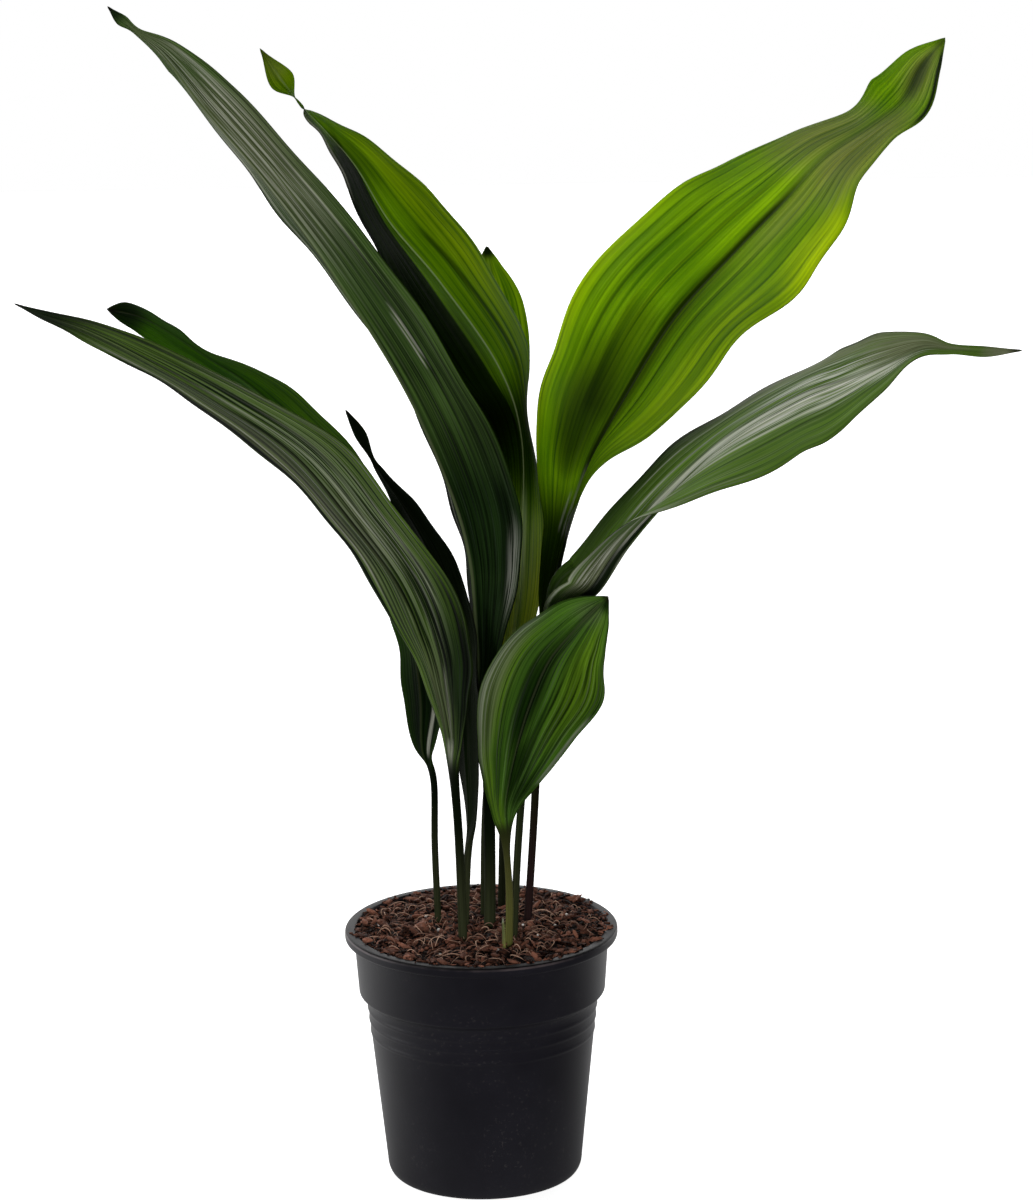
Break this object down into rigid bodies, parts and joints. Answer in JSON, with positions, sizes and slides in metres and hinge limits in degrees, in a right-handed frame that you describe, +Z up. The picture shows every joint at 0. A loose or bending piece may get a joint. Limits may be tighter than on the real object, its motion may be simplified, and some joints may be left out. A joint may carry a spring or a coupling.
{
  "type": "potted cast iron plant",
  "caption": "Potted cast iron plant: broad waved leaves on slim stalks, rising from a root stock in potting mix, in a tapered black nursery pot with a rolled lip.",
  "frame": {"origin": "on the pot's axis, at the underside of its foot", "axes": "+Z up out of the soil; -Y is the front, the side that the picture shows; +X to the right as seen from the front"},
  "size_m": [0.5793, 0.2892, 0.7444],
  "materials": {
    "pot_plastic": "satin",
    "potting_mix": "matte",
    "root_stock": "matte",
    "leaf": "satin",
    "cut_stalk": "satin"
  },
  "bodies": {
    "root": {"pot": "pot_plastic", "soil": "potting_mix", "rhizome": "root_stock", "cut_stalk": "cut_stalk", "leaf_tall_left": "leaf", "leaf_inner_left": "leaf", "leaf_back_small": "leaf", "leaf_broad_right": "leaf", "leaf_low_right": "leaf", "leaf_front_small": "leaf", "leaf_low_left": "leaf", "leaf_low_left_back": "leaf", "leaf_dark_left": "leaf"}
  },
  "joints": []
}
